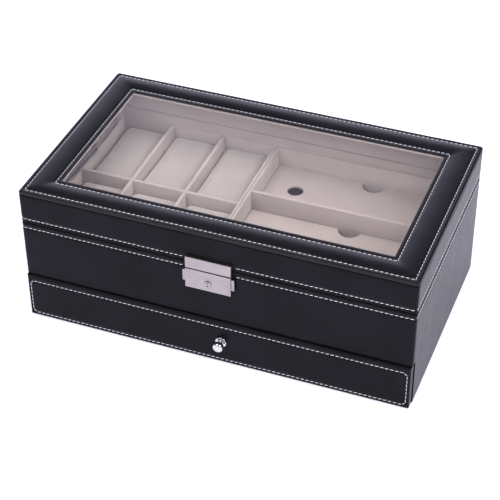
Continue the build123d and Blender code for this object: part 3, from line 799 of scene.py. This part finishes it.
cushion = {
    "fill": 0.85,
    "corner": 4.5 * mm,
    "fuller": Vector((1.5 * mm, 1.2 * mm, 0.5 * mm)),   # beyond the plain solid, on each side
    "levels": ((0.0, 0.95), (0.1, 0.99), (0.3, 1.0), (0.8, 1.0), (0.92, 0.99), (0.98, 0.955),
               (1.0, 0.92)),        # share of the height and of the width
    "voxel": 3.0 * mm,
    "pressure": 4.0,
    "puff": 0.9 * mm,
    "frames": 16,
    "ripple": 0.25 * mm,
    "rippleSize": 14 * mm,
    "rowSeeds": {"back": 7.7, "front": 1.3},
    "columnSeed": 3.1,
    "heightSeed": 0.4,
}


def cushionBag(size):
    # Rings of rounded rectangles from the foot up, closed at both ends
    points = []
    for height, share in cushion["levels"]:
        inset = (1 - share) * size.x / 2
        for at, out in roundedPath(size.x / 2 - inset, size.y / 2 - inset, cushion["corner"] * share):
            points.append(Vector((at.x, at.y, (height - 0.5) * size.z)))
    rings = len(cushion["levels"])
    count = len(points) // rings
    faces = []
    for start in range(0, (rings - 1) * count, count):
        for k in range(count):
            n = (k + 1) % count
            faces.append((start + k, start + n, start + count + n, start + count + k))
    return points, faces + [tuple(range(count)), tuple(range((rings - 1) * count, rings * count))]


def blowUp(bag):
    # Lets cloth pressure round the bag, no further than the puff
    cloth = bag.modifiers.new("cloth", "CLOTH")
    cloth.settings.use_pressure = True
    cloth.settings.uniform_pressure_force = cushion["pressure"]
    cloth.settings.effector_weights.gravity = 0
    cloth.point_cache.frame_start = 1
    cloth.point_cache.frame_end = cushion["frames"]
    for number in range(1, cushion["frames"] + 1):
        bpy.context.scene.frame_set(number)
    settled = evaluatedMesh(bag)
    bag.modifiers.clear()
    for vertex, after in zip(bag.data.vertices, settled.vertices):
        shift = after.co - vertex.co
        vertex.co += shift * min(1.0, cushion["puff"] / max(shift.length, 1e-9))
    bpy.context.scene.frame_set(1)


def settledCushion():
    low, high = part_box("front_watch_cushion_1")
    size = high - low + 2 * cushion["fuller"]
    bag = meshPiece("cushionBag", *cushionBag(size), padVelvet, "front_watch_cushion_1")
    remesh = bag.modifiers.new("remesh", "REMESH")
    remesh.mode = "VOXEL"
    remesh.voxel_size = cushion["voxel"]
    bag.data = evaluatedMesh(bag)
    bag.modifiers.clear()
    blowUp(bag)
    foot = (low.z - high.z) / 2
    for vertex in bag.data.vertices:
        vertex.co.z = max(vertex.co.z + cushion["fuller"].z, foot)
    smooth = bag.modifiers.new("smooth", "SUBSURF")
    smooth.levels = 1
    mesh = evaluatedMesh(bag)
    bpy.data.objects.remove(bag)
    for face in mesh.polygons:
        face.use_smooth = True
    return mesh


cushionMesh = settledCushion()
cushionGrowth = cushion["fuller"].x + cushion["puff"] + cushion["ripple"]
for row, rowSeed in cushion["rowSeeds"].items():
    for column in (1, 2, 3):
        node = f"{row}_watch_cushion_{column}"
        low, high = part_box(node)
        mesh = cushionMesh.copy()
        seed = Vector((column * cushion["columnSeed"], rowSeed, cushion["heightSeed"]))
        for vertex in mesh.vertices:
            ripple = noise.noise(vertex.co / cushion["rippleSize"] + seed)
            vertex.co += vertex.normal * cushion["ripple"] * (ripple - 0.5)
        if column == 1:             # room for the lid stay when the cushion is lifted out
            slimmer = 1 - 2 * cushionGrowth / (high.x - low.x)
            for vertex in mesh.vertices:
                vertex.co.x *= slimmer if vertex.co.x < 0 else 1
        mesh.transform(Matrix.Translation((low + high) / 2))
        mesh.materials.clear()
        mesh.materials.append(padVelvet)
        piece = bpy.data.objects.new(f"{row}Cushion{column}", mesh)
        bpy.context.scene.collection.objects.link(piece)
        place(piece, node, (node,))
print("cushions settled")


# Soft edges on the velvet boards and on the metal fittings

softEdge = {"segments": 3, "sharperThan": math.radians(40)}
softened = {                    # width of the rounded edge, and the nodes that get it
    0.9 * mm: ["front_and_back_liners", "side_liners", "watch_row_divider", "glasses_divider",
               "back_cell_dividers", "front_cell_dividers", "drawer_sides", "drawer_back",
               "drawer_dividers"],
    0.6 * mm: ["section_partition", "lid_liners"],
    0.2 * mm: ["glass_retainer", "release_button_left", "release_button_right", "stay_base_arm",
               "stay_lid_arm", "stay_base_bracket", "stay_lid_bracket", "hasp_plate", "lock_case"],
}
for width, names in softened.items():
    for name in names:
        piece = nodes[name]
        weld = piece.modifiers.new("weld", "WELD")
        weld.merge_threshold = weldGap
        bevel = piece.modifiers.new("bevel", "BEVEL")
        bevel.width = width
        bevel.segments = softEdge["segments"]
        bevel.limit_method = "ANGLE"
        bevel.angle_limit = softEdge["sharperThan"]
        bevel.harden_normals = True
        for face in piece.data.polygons:
            face.use_smooth = True
print("edges softened")


# Key cylinder with two small sockets, one above the other

keyCylinder = {
    "edge": 0.2 * mm,
    "socketRadius": 0.75 * mm,
    "socketApart": 1.3 * mm,    # from the middle of the cylinder
    "socketDepth": 0.5 * mm,
    "shadeFillDepth": 0.05 * mm,     # where the black filling of a socket starts: painted shade standing in for the dark depth of the socket
    "sides": 32,
}
lowKey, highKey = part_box("key_cylinder")
keyMiddle = Vector(((lowKey.x + highKey.x) / 2, lowKey.y, (lowKey.z + highKey.z) / 2))
keyRadius = (highKey.x - lowKey.x) / 2


def keyDisc(radius, stops):
    # Circles about the cylinder's axis, at each depth and inset, closed at both ends
    count = keyCylinder["sides"]
    points = []
    for depth, inset in stops:
        for k in range(count):
            angle = 2 * math.pi * k / count
            points.append(Vector(((radius - inset) * math.cos(angle), depth,
                                  (radius - inset) * math.sin(angle))))
    last = (len(stops) - 1) * count
    faces = [(a + k, a + (k + 1) % count, a + count + (k + 1) % count, a + count + k)
             for a in range(0, last, count) for k in range(count)]
    return points, faces + [tuple(range(count)), tuple(range(last, last + count))]


def keyPieces():
    edge = keyCylinder["edge"]
    socketRadius = keyCylinder["socketRadius"]
    socketDepth = keyCylinder["socketDepth"]
    length = highKey.y - lowKey.y
    points, faces = keyDisc(keyRadius, [(0, edge), (edge / 3, edge / 3), (edge, 0), (length, 0)])
    cylinder = meshPiece("keyCylinder", [keyMiddle + p for p in points], faces, satinNickel,
                         "key_cylinder", "satin_nickel", ("key_cylinder",))
    sockets = [keyMiddle + Vector((0, 0, side * keyCylinder["socketApart"])) for side in (-1, 1)]
    cutAway(cylinder, [barCutter(at, socketRadius, 2 * socketDepth, "X") for at in sockets])
    # Painted shade: a black felt disc fills each socket just under its mouth, to show the dark of the
    # hollow
    points, faces = keyDisc(socketRadius, [(keyCylinder["shadeFillDepth"], 0), (socketDepth, 0)])
    for at, name in zip(sockets, ("Lower", "Upper")):
        meshPiece("keySocketShade" + name, [at + p for p in points], faces, feltAndSocketShade, "key_cylinder",
                  "black_felt")


keyPieces()
print("key cylinder made")


# Camera matched to the photograph, and a plain pale studio

shot = {
    "lens": 112.05,
    "sensor": 36.0,
    "azimuth": 21.17,
    "elevation": 38.28,
    "roll": -0.40,
    "place": (0.3662, -0.9576, 0.8511),
    "clipStart": 0.05,
}
azimuth = math.radians(shot["azimuth"])
elevation = math.radians(shot["elevation"])
roll = math.radians(shot["roll"])
backward = Vector((math.sin(azimuth) * math.cos(elevation), -math.cos(azimuth) * math.cos(elevation),
                   math.sin(elevation)))
level = Vector((math.cos(azimuth), math.sin(azimuth), 0))
rise = backward.cross(level)
cameraRight = level * math.cos(roll) + rise * math.sin(roll)
cameraUp = rise * math.cos(roll) - level * math.sin(roll)
cameraData = bpy.data.cameras.new("shotCamera")
cameraData.lens = shot["lens"]
cameraData.sensor_width = shot["sensor"]
cameraData.clip_start = shot["clipStart"]
camera = bpy.data.objects.new("shotCamera", cameraData)
bpy.context.scene.collection.objects.link(camera)
facing = Matrix((cameraRight, cameraUp, backward)).transposed()
camera.matrix_world = Matrix.Translation(shot["place"]) @ facing.to_4x4()
bpy.context.scene.camera = camera

studio = {
    "sky": (0.88, 0.88, 1.08),
    "skyStrength": 0.30,
    "glow": (0.90, 0.88, 1.15),  # pale violet patch low behind the box, which the lid mirrors
    "glowStrength": 1.7,
    "glowToward": (-0.34, 0.93, 0.13),
    "glowSpread": (0.84, 0.98),
    "unmirrored": ("front", "top"),   # these lamps give light but don't show in the leather
    "lamps": {
        "key": {"place": (-0.8, -1.3, 2.0), "size": 1.8, "watts": 24},
        "front": {"place": (0.3, -1.9, 1.3), "size": 1.4, "watts": 13},
        "fill": {"place": (1.6, -0.8, 1.6), "size": 1.8, "watts": 33},
        "top": {"place": (0.1, 0.3, 2.3), "size": 2.0, "watts": 29},
    },
    "lampAim": (0, 0, 0.06),
    "floor": (0.86, 0.83, 0.97),
    "floorDim": 0.98,           # tone of its duller patches
    "floorGlow": 0.36,
    "floorGlowColour": (0.94, 0.90, 1.0, 1),
    "floorHalf": 6,
    "floorDrop": 0.2 * mm,      # keeps the floor just clear of the felt
}


def makeSky():
    world = bpy.data.worlds.new("studio")
    world.use_nodes = True
    tree = world.node_tree
    direction = tree.nodes.new("ShaderNodeTexCoord")
    toward = tree.nodes.new("ShaderNodeVectorMath")
    toward.operation = "DOT_PRODUCT"
    toward.inputs[1].default_value = Vector(studio["glowToward"]).normalized()
    tree.links.new(direction.outputs["Generated"], toward.inputs[0])
    spread = tree.nodes.new("ShaderNodeMapRange")
    spread.interpolation_type = "SMOOTHSTEP"
    spread.inputs["From Min"].default_value = studio["glowSpread"][0]
    spread.inputs["From Max"].default_value = studio["glowSpread"][1]
    tree.links.new(toward.outputs["Value"], spread.inputs["Value"])
    base = [c * studio["skyStrength"] for c in studio["sky"]]
    bright = [c * studio["glowStrength"] for c in studio["glow"]]
    tree.links.new(rampNode(tree, spread.outputs["Result"], [(0.0, base), (1.0, bright)]),
                   tree.nodes["Background"].inputs["Color"])
    return world


bpy.context.scene.world = makeSky()
for name, settings in studio["lamps"].items():
    lamp = bpy.data.lights.new(name + "Light", "AREA")
    lamp.shape = "DISK"
    lamp.size = settings["size"]
    lamp.energy = settings["watts"]
    holder = bpy.data.objects.new(name + "Light", lamp)
    bpy.context.scene.collection.objects.link(holder)
    aim = Vector(studio["lampAim"]) - Vector(settings["place"])
    turned = aim.to_track_quat("-Z", "Y").to_matrix().to_4x4()
    holder.matrix_world = Matrix.Translation(settings["place"]) @ turned
    holder.visible_glossy = name not in studio["unmirrored"]


def makeFloor():
    material, tree, shader = startMaterial("paleFloor", {
        "Roughness": 0.9, "Specular IOR Level": 0.1,
        "Emission Color": studio["floorGlowColour"], "Emission Strength": studio["floorGlow"],
    })
    tone = studio["floor"]
    dim = tuple(c * studio["floorDim"] for c in tone)
    tree.links.new(rampNode(tree, noiseNode(tree, 3, 2), [(0.3, dim), (0.7, tone)]),
                   shader.inputs["Base Color"])
    half = studio["floorHalf"]
    mesh = bpy.data.meshes.new("studioFloor")
    mesh.from_pydata([(-half, -half, 0), (half, -half, 0), (half, half, 0), (-half, half, 0)],
                     [], [(0, 1, 2, 3)])
    mesh.materials.append(material)
    floor = bpy.data.objects.new("studioFloor", mesh)
    floor.location.z = -studio["floorDrop"]
    bpy.context.scene.collection.objects.link(floor)


makeFloor()
bpy.context.scene.view_settings.view_transform = "Standard"
print("studio ready")
